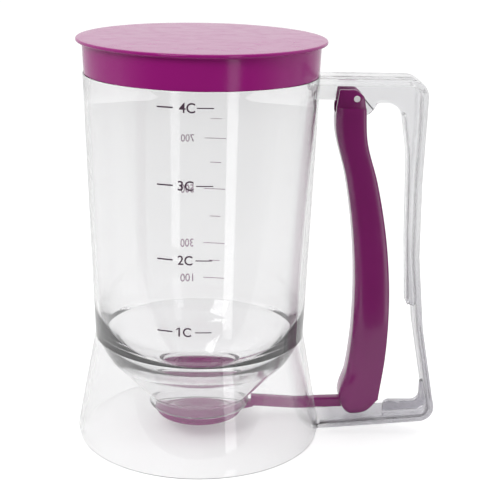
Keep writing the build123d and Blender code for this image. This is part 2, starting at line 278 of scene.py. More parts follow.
# the first colour where the source is 0, the second where it is 1, and a blend between
def mixed(tree, source, first, second):
    node = tree.nodes.new("ShaderNodeMix")
    node.data_type = "RGBA"
    node.inputs[6].default_value = (*first, 1)
    node.inputs[7].default_value = (*second, 1)
    tree.links.new(source, node.inputs[0])
    return node.outputs[2]


# the shader's normal, tilted by the slope of the source
def bumped(tree, shader, source, strength, distance):
    node = tree.nodes.new("ShaderNodeBump")
    node.inputs["Strength"].default_value = strength
    node.inputs["Distance"].default_value = distance
    tree.links.new(source, node.inputs["Height"])
    tree.links.new(node.outputs["Normal"], shader.inputs["Normal"])


clearLook = {
    # thin is the jug's own faint tint; thick is painted shade on the handle's bars, and low is the darker
    # painted shade at the foot
    "thin": (0.964, 0.964, 0.967), "thick": (0.88, 0.88, 0.893), "low": (0.6, 0.59, 0.625),
    "ior": 1.5, "smooth": 0.01, "satin": 0.16, "cloud": 38.0, "clearShare": 0.965, "shade": 0.93,
    # in metres, as the object's coordinates are
    "handleFrom": 0.054, "handleTo": 0.064, "footShadeFrom": 0.03, "footShadeTo": 0.1,
}


# glass-clear jug, and a handle of thick satin bars whose grey tint is painted shade: the change runs along X,
# where the bars leave the wall, and the painted shade grows darker towards the foot. Light on its way to what
# lies behind passes with little loss.
def clearPlastic():
    look = clearLook
    material, tree, shader = newMaterial("clearPlastic")
    handled = ramped(tree, coordinate(tree, "Object", "X"), look["handleFrom"], look["handleTo"])
    # painted shade: the bars go from the thick tint to the darker low tint towards the handle's foot
    height = ramped(tree, coordinate(tree, "Object", "Z"), look["footShadeFrom"], look["footShadeTo"])
    colour = tree.nodes.new("ShaderNodeMix")
    colour.data_type = "RGBA"
    colour.inputs[6].default_value = (*look["thin"], 1)
    tree.links.new(handled, colour.inputs[0])
    tree.links.new(mixed(tree, height, look["low"], look["thick"]), colour.inputs[7])
    tree.links.new(colour.outputs[2], shader.inputs["Base Color"])
    smooth = ranged(tree, noise(tree, look["cloud"]), look["smooth"], 3 * look["smooth"])
    rough = maths(tree, "MULTIPLY_ADD", handled, look["satin"], smooth)
    tree.links.new(rough, shader.inputs["Roughness"])
    shader.inputs["Transmission Weight"].default_value = look["clearShare"]
    shader.inputs["IOR"].default_value = look["ior"]
    passing = tree.nodes.new("ShaderNodeBsdfTransparent")
    passing.inputs["Color"].default_value = (look["shade"],) * 3 + (1,)
    path = tree.nodes.new("ShaderNodeLightPath")
    either = tree.nodes.new("ShaderNodeMixShader")
    tree.links.new(path.outputs["Is Shadow Ray"], either.inputs[0])
    tree.links.new(shader.outputs[0], either.inputs[1])
    tree.links.new(passing.outputs[0], either.inputs[2])
    tree.links.new(either.outputs[0], tree.nodes["Material Output"].inputs["Surface"])
    return material


purpleLook = {
    "ior": 1.46, "smooth": 0.12, "worn": 0.2, "coatRoughness": 0.06,
    "cloud": 30.0, "grain": 160.0, "wave": 60.0, "waveStrength": 0.02, "waveHeight": 0.0005,
    # the cap is the lever's purple made brighter: painted light for the light that falls on its skirt
    "capPurplePaintedLight": {"deep": (0.38, 0.009, 0.225), "bright": (0.42, 0.012, 0.25),
                  "coat": 0.0, "gloss": 0.36},
    "purplePlastic": {"deep": (0.2, 0.008, 0.125), "bright": (0.235, 0.012, 0.15),
                      "coat": 0.35, "gloss": 0.5},
}


# moulded plastic: faint clouds from deep to bright, a fine grain in its gloss and a slight waviness
def mouldedPlastic(name):
    look, own = purpleLook, purpleLook[name]
    material, tree, shader = newMaterial(name)
    colour = mixed(tree, noise(tree, look["cloud"]), own["deep"], own["bright"])
    tree.links.new(colour, shader.inputs["Base Color"])
    shader.inputs["IOR"].default_value = look["ior"]
    shader.inputs["Coat Weight"].default_value = own["coat"]
    shader.inputs["Specular IOR Level"].default_value = own["gloss"]
    shader.inputs["Coat Roughness"].default_value = look["coatRoughness"]
    rough = ranged(tree, noise(tree, look["grain"]), look["smooth"], look["worn"])
    tree.links.new(rough, shader.inputs["Roughness"])
    bumped(tree, shader, noise(tree, look["wave"], 1.0), look["waveStrength"], look["waveHeight"])
    return material


mottles = {
    "purpleSilicone": {"cloud": 60.0, "dark": (0.2, 0.014, 0.13), "light": (0.24, 0.02, 0.16),
                       "grain": 300.0, "rough": (0.45, 0.6)},
    "whiteAcetal": {"cloud": 400.0, "dark": (0.93, 0.93, 0.93), "light": (0.96, 0.96, 0.96), "rough": 0.35},
    "springSteel": {"cloud": 500.0, "dark": (0.3, 0.3, 0.31), "light": (0.45, 0.45, 0.46), "metal": 1.0,
                    "grain": 2000.0, "rough": (0.25, 0.45)},
    "frontInk": {"cloud": 700.0, "dark": (0.075, 0.035, 0.065), "light": (0.1, 0.05, 0.085), "rough": 0.55},
    "backInk": {"cloud": 700.0, "dark": (0.36, 0.2, 0.31), "light": (0.42, 0.26, 0.37), "rough": 0.55},
}


# two close colours clouded by noise, and a roughness that is one value, or lies between two by a finer noise
def mottled(name):
    look = mottles[name]
    material, tree, shader = newMaterial(name)
    colour = mixed(tree, noise(tree, look["cloud"]), look["dark"], look["light"])
    tree.links.new(colour, shader.inputs["Base Color"])
    if "metal" in look:
        shader.inputs["Metallic"].default_value = look["metal"]
    if "grain" in look:
        rough = ranged(tree, noise(tree, look["grain"]), *look["rough"])
        tree.links.new(rough, shader.inputs["Roughness"])
    else:
        shader.inputs["Roughness"].default_value = look["rough"]
    return material


clear = clearPlastic()
# a lit copy of the purple plastic for the cap, brighter by painted light
capPurplePaintedLight = mouldedPlastic("capPurplePaintedLight")
purple = mouldedPlastic("purplePlastic")


# the clear jug, stand and handle, which are one moulding

jug = {
    "wall": 2.1, "topRadius": 52.3, "waistRadius": 48.45, "shoulder": 169.7, "waist": 49.3,
    "rim": 183.0, "rimRadius": 50.1, "rimWall": 1.9, "thickenFrom": 158.0, "thickenCurve": 70.0,
    "rimStep": 0.5, "rimStepRound": 3.0,
    "seam": 48.4, "bendRadius": 42.0, "bend": 38.0, "bendCurve": 16.0,
    "bowlSlope": 51.0, "bowlCurve": 36.0, "boreTop": 18.4,
    "neckRadius": 23.6, "neckTop": 18.2, "outletRadius": 20.2, "outlet": 13.4,
    "standWall": 2.4, "footRadius": 57.1, "footEdge": 56.4, "foot": 3.0,
    "slotLow": 7.0, "slotHigh": 16.6, "slotHalf": 3.5, "slotFrom": 45, "slotTo": 62, "slotRound": 0.8,
    "turns": 240, "arcStep": 3.0, "step": 4.0,
}


# outer radius of the jug: a straight taper through the waist and the shoulder
def jugRadius(z):
    taper = (jug["topRadius"] - jug["waistRadius"]) / (jug["shoulder"] - jug["waist"])
    return jug["waistRadius"] + taper * (z - jug["waist"])


# outer radius of the stand: a straight flare from the waist to the foot
def standRadius(z):
    flare = (jug["footRadius"] - jug["waistRadius"]) / (jug["waist"] - jug["foot"])
    return jug["footRadius"] - flare * (z - jug["foot"])


# the whole wall in one outline: down outside, up inside the stand, down under the bowl, up inside the jug
def jugOutline():
    innerWall = jugRadius(jug["waist"]) - jug["wall"]
    slopeTop = jug["boreTop"] + math.tan(math.radians(jug["bowlSlope"])) * (innerWall - jug["outletRadius"])
    rimInside = jug["rimRadius"] - jug["rimWall"]
    corners = [
        (jug["rimRadius"], jug["rim"], 0.8),
        (jug["rimRadius"], jug["shoulder"]),
        (jug["topRadius"], jug["shoulder"], 0.3),
        (jug["waistRadius"], jug["waist"], 1.0),
        (jug["footRadius"], jug["foot"], 3.0),
        (jug["footEdge"], 0.0, 0.3),
        (standRadius(0) - jug["standWall"], 0.0, 0.5),
        (standRadius(jug["seam"]) - jug["standWall"], jug["seam"], 0.15),
        (jug["bendRadius"], jug["bend"], jug["bendCurve"]),
        (jug["neckRadius"], jug["neckTop"], 1.2),
        (jug["neckRadius"], jug["outlet"], 0.8),
        (jug["outletRadius"], jug["outlet"], 0.3),
        (jug["outletRadius"], jug["boreTop"], 1.2),
        (innerWall, slopeTop, jug["bowlCurve"]),
        (jugRadius(jug["thickenFrom"]) - jug["wall"], jug["thickenFrom"], jug["thickenCurve"]),
        (rimInside, jug["shoulder"] - jug["rimStep"], jug["rimStepRound"]),
        (rimInside, jug["rim"], 0.8),
    ]
    return spaced(roundedLine(corners, True, jug["arcStep"]), jug["step"], True)


handle = {
    "width": 20.0, "top": 169.2, "topBar": 3.3, "cornerX": 99.9, "cornerRadius": 8.3,
    "gripBar": 2.7, "bendX": 98.3, "bendZ": 70.0, "bendRadius": 430.0, "lean": 13.0,
    "low": 1.0, "lowAt": 40, "lowRise": 4.6, "lowBar": 2.4, "footRadius": 7.0, "edge": 0.9,
    "topStart": 50.7, "lowStart": 55.6, "inside": 1.4, "arcStep": 5.0, "step": 3.0,
    "gripFrom": -6, "gripTo": 16, "footFrom": 75, "footTo": 45,
    "web": 3.0, "webLow": 158.2, "lobeX": 69.5, "lobeZ": 159.3, "lobeRadius": 8.8, "lobeCut": 0.22,
    "archTop": 157.3, "archStart": (0.9, 2.4), "archEnd": (88.8, 8.0),
    "gripEdge": [(92.8, 134.0, 60.0), (94.0, 97.0, 80.0), (96.2, 63.0, 2.5), (99.6, 61.6)],
    "webTop": 150, "webEnd": 59, "cornerSlope": 0.8, "lobePoints": 28, "webStep": 2.5,
    "beadWidth": 8.0, "bead": 1.6, "beadTop": 153.0, "beadEnd": 63.0, "beadFrom": 84, "beadEdge": 0.5,
    "gussetStart": 88.2, "gussetZ": 13.2, "gussetLow": 4.0, "gussetCorner": 3.0, "gussetTop": 26,
    "gussetEdge": 0.3, "gussetBend": 4.0, "gussetEnd": [(105.4, 23.0), (108.6, 25.4)], "gussetStep": 2.0,
}


# the handle's outer line, from the jug over the grip down to the stand
def handleLine():
    lean, rise = math.tan(math.radians(handle["lean"])), math.tan(math.radians(handle["lowRise"]))
    reach = (handle["bendZ"] - handle["low"] - rise * (handle["bendX"] - handle["lowAt"])) / (1 + rise * lean)
    footX, footZ = handle["bendX"] + reach * lean, handle["bendZ"] - reach
    corners = [
        (handle["topStart"], handle["top"]),
        (handle["cornerX"], handle["top"], handle["cornerRadius"]),
        (handle["bendX"], handle["bendZ"], handle["bendRadius"]),
        (footX, footZ, handle["footRadius"]),
        (handle["lowStart"], handle["low"] + rise * (handle["lowStart"] - handle["lowAt"])),
    ]
    return spaced(roundedLine(corners, arcStep=handle["arcStep"]), handle["step"])


# points round a bar's section as (y, share, out): each lies share of the thickness plus out below the top
def barRing(width, edge):
    turns = np.radians(np.linspace(0, 90, 5))
    corner = [(-width / 2 + edge * (1 - math.cos(t)), edge * (1 - math.sin(t))) for t in turns]
    ring = [(y, 0.0, out) for y, out in corner]
    ring += [(-y, 0.0, out) for y, out in reversed(corner)]
    ring += [(-y, 1.0, -out) for y, out in corner]
    ring += [(y, 1.0, -out) for y, out in reversed(corner)]
    return np.array(ring)


# a rounded bar under a flat (x, z) line, with its own thickness at each point
def band(line, thickness, width, edge, inwards):
    ring = barRing(width, edge)
    depth = thickness[:, None] * ring[None, :, 1] + ring[None, :, 2]
    flat = line[:, None] + inwards[:, None] * depth[..., None]
    y = np.broadcast_to(ring[None, :, 0], depth.shape)
    return skinned(np.stack([flat[..., 0], y, flat[..., 1]], -1))


# the bar under the handle's line: it thins over a short stretch at the corner, and again before the low bar
def handleBand(line):
    at = np.concatenate([[0], np.cumsum(np.linalg.norm(np.diff(line, axis=0), axis=1))])
    corner = handle["cornerX"] - handle["topStart"]
    changes = [corner + handle["gripFrom"], corner + handle["gripTo"],
               at[-1] - handle["footFrom"], at[-1] - handle["footTo"]]
    bars = [handle["topBar"], handle["gripBar"], handle["gripBar"], handle["lowBar"]]
    return band(line, np.interp(at, changes, bars), handle["width"], handle["edge"], rightOf(line))


# the web's free edge: under the pivot lobe, through the arch and down the grip
def webEdge():
    lobe = np.array([handle["lobeX"], handle["lobeZ"]])
    radius = handle["lobeRadius"]
    startDrop, endDrop = handle["lobeZ"] - handle["webLow"], handle["lobeZ"] - handle["archTop"]
    first = math.pi + math.asin(startDrop / radius)
    last = 2 * math.pi - math.asin(endDrop / radius) - handle["lobeCut"]
    t = np.linspace(first, last, handle["lobePoints"])
    arc = lobe + radius * np.stack([np.cos(t), np.sin(t)], 1)
    step, stepRound = handle["archStart"]
    archEnd, archRound = handle["archEnd"]
    arch = roundedLine([
        tuple(arc[-1]),
        (arc[-1][0] + step, handle["archTop"], stepRound),
        (archEnd, handle["archTop"], archRound),
        *handle["gripEdge"],
    ])
    start = np.array([[handle["topStart"], handle["webLow"]]])
    return spaced(np.concatenate([start, arc, arch[1:]]), handle["webStep"])


# a flat strip from a free edge with a small round to a line buried in the handle's bar
def strip(edge, buried, thickness, soft=0.5):
    gap = buried - edge
    unit = gap / np.linalg.norm(gap, axis=1)[:, None]
    rows = [(buried + (edge + unit * soft - buried) * share, thickness / 2) for share in (0.0, 0.34, 0.67)]
    for t in quarter[::-1]:
        rows.append((edge + unit * soft * (1 - math.cos(t)), thickness / 2 - soft * (1 - math.sin(t))))
    rows += [(points, -y) for points, y in reversed(rows)]
    columns = [np.stack([points[:, 0], np.full(len(points), y), points[:, 1]], 1) for points, y in rows]
    return skinned(np.stack(columns, 1))


# the web between its free edge and the bar: both lines are split at their outer corner, which lies furthest
# up and out, and matched point by point
def webStrip(edge, middle):
    bendAt = int(np.argmax(edge[:, 0] + edge[:, 1] * handle["cornerSlope"]))
    topPart = middle[middle[:, 1] > handle["webTop"]]
    cornerAt = int(np.argmax(topPart[:, 0] + topPart[:, 1]))
    gripPart = middle[(middle[:, 1] > handle["webEnd"]) & (np.arange(len(middle)) >= cornerAt)]
    buried = np.concatenate([evenly(middle[: cornerAt + 1], bendAt + 1),
                             evenly(gripPart, len(edge) - bendAt)[1:]])
    return strip(edge, buried, handle["web"])


# a rounded bead along the web's edge at the grip
def gripBead(edge):
    x, z = edge.T
    line = edge[(x > handle["beadFrom"]) & (z < handle["beadTop"]) & (z > handle["beadEnd"])]
    thickness = np.full(len(line), handle["bead"])
    return band(line, thickness, handle["beadWidth"], handle["beadEdge"], -rightOf(line))


# the plate in the lower corner, from the low bar up to the grip
def gussetStrip(middle):
    start, top = handle["gussetStart"], handle["gussetZ"]
    corners = [
        (start, handle["gussetLow"]), (start, top, handle["gussetCorner"]),
        (handle["gussetEnd"][0][0], top, handle["gussetBend"]), *handle["gussetEnd"],
    ]
    edge = spaced(roundedLine(corners), handle["gussetStep"])
    back = middle[::-1]
    lowPart = back[(back[:, 0] > start) & (back[:, 1] < handle["gussetTop"])]
    return strip(edge, evenly(lowPart, len(edge)), handle["web"], handle["gussetEdge"])


# the slot that the valve's arm swings in: a rounded rectangle through the stand's wall
def armSlot():
    low, high, soft = jug["slotLow"], jug["slotHigh"], jug["slotRound"]
    corners = [(jug["slotFrom"], low, soft), (jug["slotTo"], low, soft),
               (jug["slotTo"], high, soft), (jug["slotFrom"], high, soft)]
    return plate(roundedLine(corners, True), -jug["slotHalf"], jug["slotHalf"], soft)


# the turned wall with its slot, joined with the bar, the web, its bead and the corner plate
def clearBody():
    body = objectOf("jug_and_handle", turned(jugOutline(), jug["turns"]))
    outer, edge = handleLine(), webEdge()
    middle = outer + rightOf(outer) * handle["inside"]
    combined(body, [armSlot()], "DIFFERENCE")
    combined(body, [handleBand(outer), webStrip(edge, middle), gripBead(edge), gussetStrip(middle)], "UNION")
    finished(body, clear, "vessel",
             ["jug_wall", "jug_funnel", "stand_skirt", "handle_flange", "handle_web", "grip_gusset"])


clearBody()
print("jug and handle made")


# the press-on cap

cap = {
    "radius": 55.1, "top": 185.0, "flange": 1.5, "skirtTop": 52.4, "skirtLow": 51.8, "skirt": 1.4,
    "plugRadius": 47.7, "plug": 1.4, "plugDepth": 7.0, "plugTaper": 0.3, "groove": 0.2,
    "turns": 200, "step": 3.0,
}


# an outline from the middle of the top over rim and skirt, round the plug, to the middle of the underside
def capPiece():
    under = cap["top"] - cap["flange"]
    groove, plugEnd = under - cap["groove"], under - cap["plugDepth"]
    inside = cap["skirtTop"] - cap["skirt"]
    plugInside = cap["plugRadius"] - cap["plug"]
    corners = [
        (0.0, cap["top"]),
        (cap["radius"], cap["top"], 0.7),
        (cap["radius"], under, 0.6),
        (cap["skirtTop"], under, 0.8),
        (cap["skirtLow"], jug["shoulder"], 0.4),
        (cap["skirtLow"] - cap["skirt"], jug["shoulder"], 0.3),
        (inside, groove, 0.5),
        (cap["plugRadius"], groove, 0.5),
        (cap["plugRadius"] - cap["plugTaper"], plugEnd, 0.4),
        (plugInside - cap["plugTaper"], plugEnd, 0.4),
        (plugInside, under, 0.5),
        (0.0, under),
    ]
    shape = turned(spaced(roundedLine(corners), cap["step"]), cap["turns"], False)
    finished(objectOf("cap", shape), capPurplePaintedLight, "lid", ["lid_cap"])


capPiece()
print("cap made")


# the trigger: a channel open to the palm, with two ears at its head

trigger = {
    "front": [(59.5, 155.8), (59.6, 147.0), (65.4, 123.2), (70.1, 92.7), (71.6, 65.0), (69.4, 30.0),
              (66.6, 15.4)],
    "foot": [(70.5, 8.8), (78.2, 9.0)],
    "back": [(84.6, 17.0), (87.0, 38.0), (87.6, 58.0), (84.9, 93.5), (79.2, 122.2), (73.6, 142.0),
             (72.6, 155.8)],
    "width": 17.6, "wall": 2.3, "wallShare": 0.6, "channel": 11.6, "channelRound": 1.2, "channelShare": 0.5,
    "frontRound": 4.5, "roundDeep": 9.0, "roundShare": 0.55, "lip": 0.8, "lipShare": 0.3, "fanFrom": 40.0,
    "head": [(59.6, 154.6), (59.5, 155.8), (60.7, 163.8, 0.8), (68.4, 163.8, 3.5), (71.8, 160.6, 3.0),
             (72.6, 155.8, 0.8), (72.4, 154.6)],
    "roof": [(59.6, 153.4), (59.5, 155.8), (72.6, 155.8), (72.7, 153.4)], "roofInset": 2.2, "roofEdge": 0.6,
    "ear": 2.2, "earEdge": 0.5, "headSlot": 8.2, "headCut": (50.0, 153.2, 86.0, 175.0),
    "footSlot": 5.0, "footCut": (71.8, 0.0, 95.0, 16.0), "cutEdge": 0.05,
    "ribs": (45.0, 75.0, 105.0), "rib": 1.8, "ribFront": 1.0, "ribBack": 1.6, "ribSink": 0.4, "ribEdge": 0.2,
    "pivotX": 68.4, "pivotZ": 159.8, "smooth": 38.0, "linePoints": 400, "sections": 60, "footSections": 44,
}


# pairs of a front and a back point down the lever: level ones over most of its height, and at the foot
# a fan of them round to the lowest point of the back
def triggerSections():
    front = smoothLine(trigger["front"] + trigger["foot"] + trigger["back"][:1], trigger["linePoints"])
    back = smoothLine(trigger["back"], trigger["linePoints"])
    turnAt = int(np.argmax(front[:, 1] < trigger["fanFrom"]))
    upperFront = evenly(front[:turnAt], trigger["sections"])
    upperBack = np.stack([np.interp(upperFront[:, 1], back[:, 1], back[:, 0]), upperFront[:, 1]], 1)
    lowFront = evenly(front[turnAt:], trigger["footSections"])
    lowBack = back[back[:, 1] < upperBack[-1, 1]][::-1]
    lowBack = evenly(np.concatenate([upperBack[-1:], lowBack]), trigger["footSections"] + 1)[1:]
    return np.concatenate([upperFront, lowFront]), np.concatenate([upperBack, lowBack])


# a U-shaped section between each pair, as (across, depth behind the front): round the front, down to rounded
# lips, and back along the channel at the wall's depth; every depth is also held to a share of the pair's gap
def triggerShell():
    front, back = triggerSections()
    gap = np.maximum(np.linalg.norm(back - front, axis=1), 1e-4)[:, None]
    unit = (back - front) / gap
    half, inner = trigger["width"] / 2, trigger["channel"] / 2
    lip, soft, bend = trigger["lip"], trigger["frontRound"], trigger["channelRound"]
    roundness = np.minimum(trigger["roundDeep"], gap * trigger["roundShare"])
    floor = np.minimum(trigger["wall"], gap * trigger["wallShare"])
    lipDeep = np.minimum(lip, gap * trigger["lipShare"])
    bendDeep = np.minimum(bend, floor * trigger["channelShare"])
    outside = [(-(half - lip) - lip * math.cos(t), gap - lipDeep * (1 - math.sin(t))) for t in quarter[::-1]]
    outside += [(-(half - soft) - soft * math.cos(t), roundness * (1 - math.sin(t)))
                for t in np.radians(np.linspace(0, 90, 8))]
    inside = [(inner - bend + bend * math.sin(t), floor + bendDeep * (1 - math.cos(t))) for t in quarter]
    inside += [(inner + lip - lip * math.cos(t), gap - lipDeep * (1 - math.sin(t))) for t in quarter]
    ring = outside + [(-y, deep) for y, deep in reversed(outside)]
    ring += list(reversed(inside)) + [(-y, deep) for y, deep in inside]
    columns = []
    for y, deep in ring:
        flat = front + unit * deep
        columns.append(np.stack([flat[:, 0], np.full(len(flat), y), flat[:, 1]], 1))
    return skinned(np.stack(columns, 1))


# cross ribs in the channel, each from the front wall to just inside the lips
def channelRibs():
    count = trigger["linePoints"] // 2
    front, back = smoothLine(trigger["front"], count), smoothLine(trigger["back"], count)
    half, across = trigger["rib"] / 2, trigger["channel"] / 2 + trigger["ribSink"]
    ribs = []
    for z in trigger["ribs"]:
        x0 = np.interp(-z, -front[:, 1], front[:, 0]) + trigger["ribFront"]
        x1 = np.interp(z, back[:, 1], back[:, 0]) - trigger["ribBack"]
        ribs.append(block(x0, z - half, x1, z + half, across, trigger["ribEdge"]))
    return ribs


# the shell under its roof, slotted at the head for the web and at the foot for the arm, with ears and ribs
def triggerPiece():
    lever = objectOf("trigger", triggerShell())
    roofHalf = trigger["width"] / 2 - trigger["roofInset"]
    roof = plate(spaced(np.array(trigger["roof"]), 1.0, True), -roofHalf, roofHalf, trigger["roofEdge"])
    inner, outer = trigger["headSlot"] / 2, trigger["headSlot"] / 2 + trigger["ear"]
    head = roundedLine(trigger["head"], True)
    ears = [plate(head, low, high, trigger["earEdge"]) for low, high in ((inner, outer), (-outer, -inner))]
    headSlot = block(*trigger["headCut"], inner, trigger["cutEdge"])
    footSlot = block(*trigger["footCut"], trigger["footSlot"] / 2, trigger["cutEdge"])
    combined(lever, [roof], "UNION")
    combined(lever, [headSlot, footSlot], "DIFFERENCE")
    combined(lever, ears + channelRibs(), "UNION")
    finished(lever, purple, "trigger", ["trigger_lever"], trigger["smooth"])


triggerPiece()
print("trigger made")


# the pivot pin, and the torsion spring round it

pin = {"radius": 1.6, "half": 6.5, "edge": 0.35}

spring = {
    "wire": 0.3, "coil": 2.4, "pitch": 0.66, "turns": 2, "startY": -1.9, "coilPoints": 150,
    "webLeg": (8.0, -5.4), "wallLeg": (-6.2, -8.0), "legPoints": 12, "softTo": (-3.0, 0.0, -4.0),
}


# a round rod along Y with bevelled ends
def rod(centre, radius, halfLength, edge, turns=40):
    t = np.linspace(0, 2 * math.pi, turns, endpoint=False)
    profile = np.array([(-halfLength, radius - edge), (-halfLength + edge, radius),
                        (halfLength - edge, radius), (halfLength, radius - edge)])
    x = centre[0] + profile[:, 1:] * np.cos(t)
    z = centre[1] + profile[:, 1:] * np.sin(t)
    y = profile[:, :1] + 0 * t
    return skinned(np.stack([x, y, z], -1))


# the pin through the web and both ears
def pinPiece():
    centre = (trigger["pivotX"], trigger["pivotZ"])
    thing = objectOf("pivot_rod", rod(centre, pin["radius"], pin["half"], pin["edge"]))
    finished(thing, mottled("whiteAcetal"), "vessel", ["pivot_pin"])


# where a leg leaves the coil at a tangent: the tip's own angle, turned by the angle whose tangent is the
# leg's length over the coil's radius
def legAngle(tip, side):
    reach = math.hypot(*tip)
    length = math.sqrt(reach**2 - spring["coil"]**2)
    return math.atan2(tip[1], tip[0]) - side * math.atan2(length, spring["coil"])


# a round tube along a line: at each point a circle square to the line
def tube(line, radius, sides=14):
    along = np.gradient(line, axis=0)
    along = along / np.linalg.norm(along, axis=1)[:, None]
    across = np.cross(along, np.array([0.0, 1.0, 0.0]))
    across = across / np.linalg.norm(across, axis=1)[:, None]
    other = np.cross(along, across)
    t = np.linspace(0, 2 * math.pi, sides, endpoint=False)[None, :, None]
    return skinned(line[:, None] + radius * (np.cos(t) * across[:, None] + np.sin(t) * other[:, None]))


# a straight leg, a coil that steps along Y by its pitch each turn, and a second straight leg
def springPiece():
    first = legAngle(spring["webLeg"], -1)
    part = (legAngle(spring["wallLeg"], 1) - first) % (2 * math.pi)
    t = np.linspace(first, first + part + spring["turns"] * 2 * math.pi, spring["coilPoints"])
    y = -spring["pitch"] * (t - first) / (2 * math.pi)
    coil = np.stack([spring["coil"] * np.cos(t), y, spring["coil"] * np.sin(t)], 1)
    starts = np.array([spring["webLeg"][0], 0.0, spring["webLeg"][1]])
    ends = np.array([spring["wallLeg"][0], y[-1], spring["wallLeg"][1]])
    share = np.linspace(0, 1, spring["legPoints"] + 1)[:, None]
    webLeg = starts + (coil[0] - starts) * share[:-1]
    wallLeg = coil[-1] + (ends - coil[-1]) * share[1:]
    centre = (trigger["pivotX"], spring["startY"], trigger["pivotZ"])
    line = np.concatenate([webLeg, coil, wallLeg]) + np.array(centre)
    wire = objectOf("spring_wire", tube(line, spring["wire"]))
    wire.data.materials.append(mottled("springSteel"))
    wire.data.shade_smooth()
    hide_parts("return_spring")
    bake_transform(wire)


pinPiece()
springPiece()
print("pin and spring made")


# the valve: arm, cup with a dished top, and a soft seal ring

valve = {
    "radius": 20.0, "bottom": 8.7, "edge": 12.0, "slope": 23.0, "crest": 11.5, "dish": 2.6, "dishRun": 3.5,
    "wall": 2.2, "underDrop": 1.4, "turns": 140, "step": 1.5,
    "seal": 1.0, "sealInner": 15.0, "sealOuter": 21.6, "sealTurns": 120, "sealStep": 1.0,
}

arm = {
    "width": 4.6, "height": 5.0, "edge": 0.9, "gap": 1.2, "rootZ": 13.3, "footX": 68.0, "footZ": 12.8,
    "kneeX": 46.0, "kneeZ": 12.1, "kneeRound": 20.0, "step": 1.5,
    "rootStart": 19.4, "rootLow": 0.2, "rootRise": 1.6, "rootLap": 1.0, "rootUnder": 0.6, "rootRing": 0.6,
    "rootHigh": 1.2, "rootEdge": 0.3,
}


# height of the valve's sloping top at a radius: it falls outwards in a straight line through its edge
def valveTop(radius):
    return valve["edge"] + (valve["radius"] - radius) * math.tan(math.radians(valve["slope"]))


# a hollow cup: a dish in the middle of its top, a crest round it, the slope, the rim and the open underside
def cupPiece():
    crest = valveTop(valve["crest"])
    dish = crest - valve["dish"]
    wallInside = valve["radius"] - valve["wall"]
    corners = [
        (0.0, dish),
        (valve["crest"] - valve["dishRun"], dish, 2.0),
        (valve["crest"], crest, 0.8),
        (valve["radius"], valve["edge"], 0.8),
        (valve["radius"], valve["bottom"], 0.8),
        (wallInside, valve["bottom"], 0.5),
        (wallInside, valve["edge"] - valve["underDrop"], 1.0),
        (valve["crest"], dish - valve["wall"], 1.0),
        (0.0, dish - valve["wall"]),
    ]
    cup = objectOf("cup", turned(spaced(roundedLine(corners), valve["step"]), valve["turns"], False))
    finished(cup, purple, "trigger", ["valve_cup"])


# a ring of even thickness on the valve's slope, a little wider than the cup
def sealPiece():
    low, high = valveTop(valve["sealOuter"]), valveTop(valve["sealInner"])
    corners = [
        (valve["sealOuter"], low, 0.3),
        (valve["sealOuter"], low + valve["seal"], 0.3),
        (valve["sealInner"], high + valve["seal"], 0.3),
        (valve["sealInner"], high, 0.3),
    ]
    outline = spaced(roundedLine(corners, True), valve["sealStep"], True)
    ring = objectOf("seal_ring", turned(outline, valve["sealTurns"]))
    finished(ring, mottled("purpleSilicone"), "trigger", ["valve_seal"])


# the arm's line from outside the outlet over its knee to the trigger's foot, moved up or down
def armLine(start, lift):
    line = roundedLine([(start, arm["rootZ"] + lift), (arm["kneeX"], arm["kneeZ"] + lift, arm["kneeRound"]),
                        (arm["footX"], arm["footZ"] + lift)])
    return spaced(line, arm["step"])


# a rounded bar between the arm's upper and lower line, and a root that runs under the outlet into the cup
def armPiece():
    reach, half = jug["neckRadius"] + arm["gap"], arm["height"] / 2
    top = armLine(reach, half)
    gap = evenly(armLine(reach, -half), len(top)) - top
    unit = gap / np.linalg.norm(gap, axis=1)[:, None]
    columns = []
    for y, share, out in barRing(arm["width"], arm["edge"]):
        flat = top + gap * share + unit * out
        columns.append(np.stack([flat[:, 0], np.full(len(top), y), flat[:, 1]], 1))
    bar = objectOf("arm", skinned(np.stack(columns, 1)))
    low, high = valve["bottom"] + arm["rootLow"], valve["edge"] - arm["rootHigh"]
    end, under = reach + arm["rootLap"], jug["outlet"] - arm["rootUnder"]
    ring = valve["sealOuter"] + arm["rootRing"]
    corners = [(arm["rootStart"], low), (end, low + arm["rootRise"]), (end, under),
               (ring, under), (ring, high), (arm["rootStart"], high)]
    root = plate(np.array(corners), -arm["width"] / 2, arm["width"] / 2, arm["rootEdge"])
    combined(bar, [root], "UNION")
    finished(bar, purple, "trigger", ["valve_arm"])


cupPiece()
sealPiece()
armPiece()
print("valve made")


# printed scales, bent round the jug's wall

scale = {"lift": 0.06, "thick": 0.05, "strip": 0.8, "heavy": 0.012, "curve": 6}


# flat marks in (u, z), cut into narrow strips and laid round the wall: the angle is u over the radius
def wrapped(name, mesh, facing, material):
    work = bmesh.new()
    work.from_mesh(mesh)
    lowU, highU = min(v.co.x for v in work.verts), max(v.co.x for v in work.verts)
    for cut in np.arange(lowU, highU, scale["strip"]):
        bmesh.ops.bisect_plane(work, geom=work.verts[:] + work.edges[:] + work.faces[:],
                               plane_co=(cut, 0, 0), plane_no=(1, 0, 0))
    solid = bmesh.ops.extrude_face_region(work, geom=work.faces[:])
    for v in solid["geom"]:
        if isinstance(v, bmesh.types.BMVert):
            v.co.z = scale["thick"]
    bmesh.ops.recalc_face_normals(work, faces=work.faces)
    flat = bpy.data.meshes.new(name)
    work.to_mesh(flat)
    work.free()
    co = np.zeros(len(flat.vertices) * 3)
    flat.vertices.foreach_get("co", co)
    u, z, out = co.reshape(-1, 3).T
    radius = jugRadius(z) + scale["lift"] + out
    angle = math.radians(facing) + u / jugRadius(z)
    place = np.stack([radius * np.cos(angle), radius * np.sin(angle), z], 1) * mm
    flat.vertices.foreach_set("co", place.ravel())
    thing = bpy.data.objects.new(name, flat)
    scene.collection.objects.link(thing)
    flat.materials.append(material)
    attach(thing, "vessel")


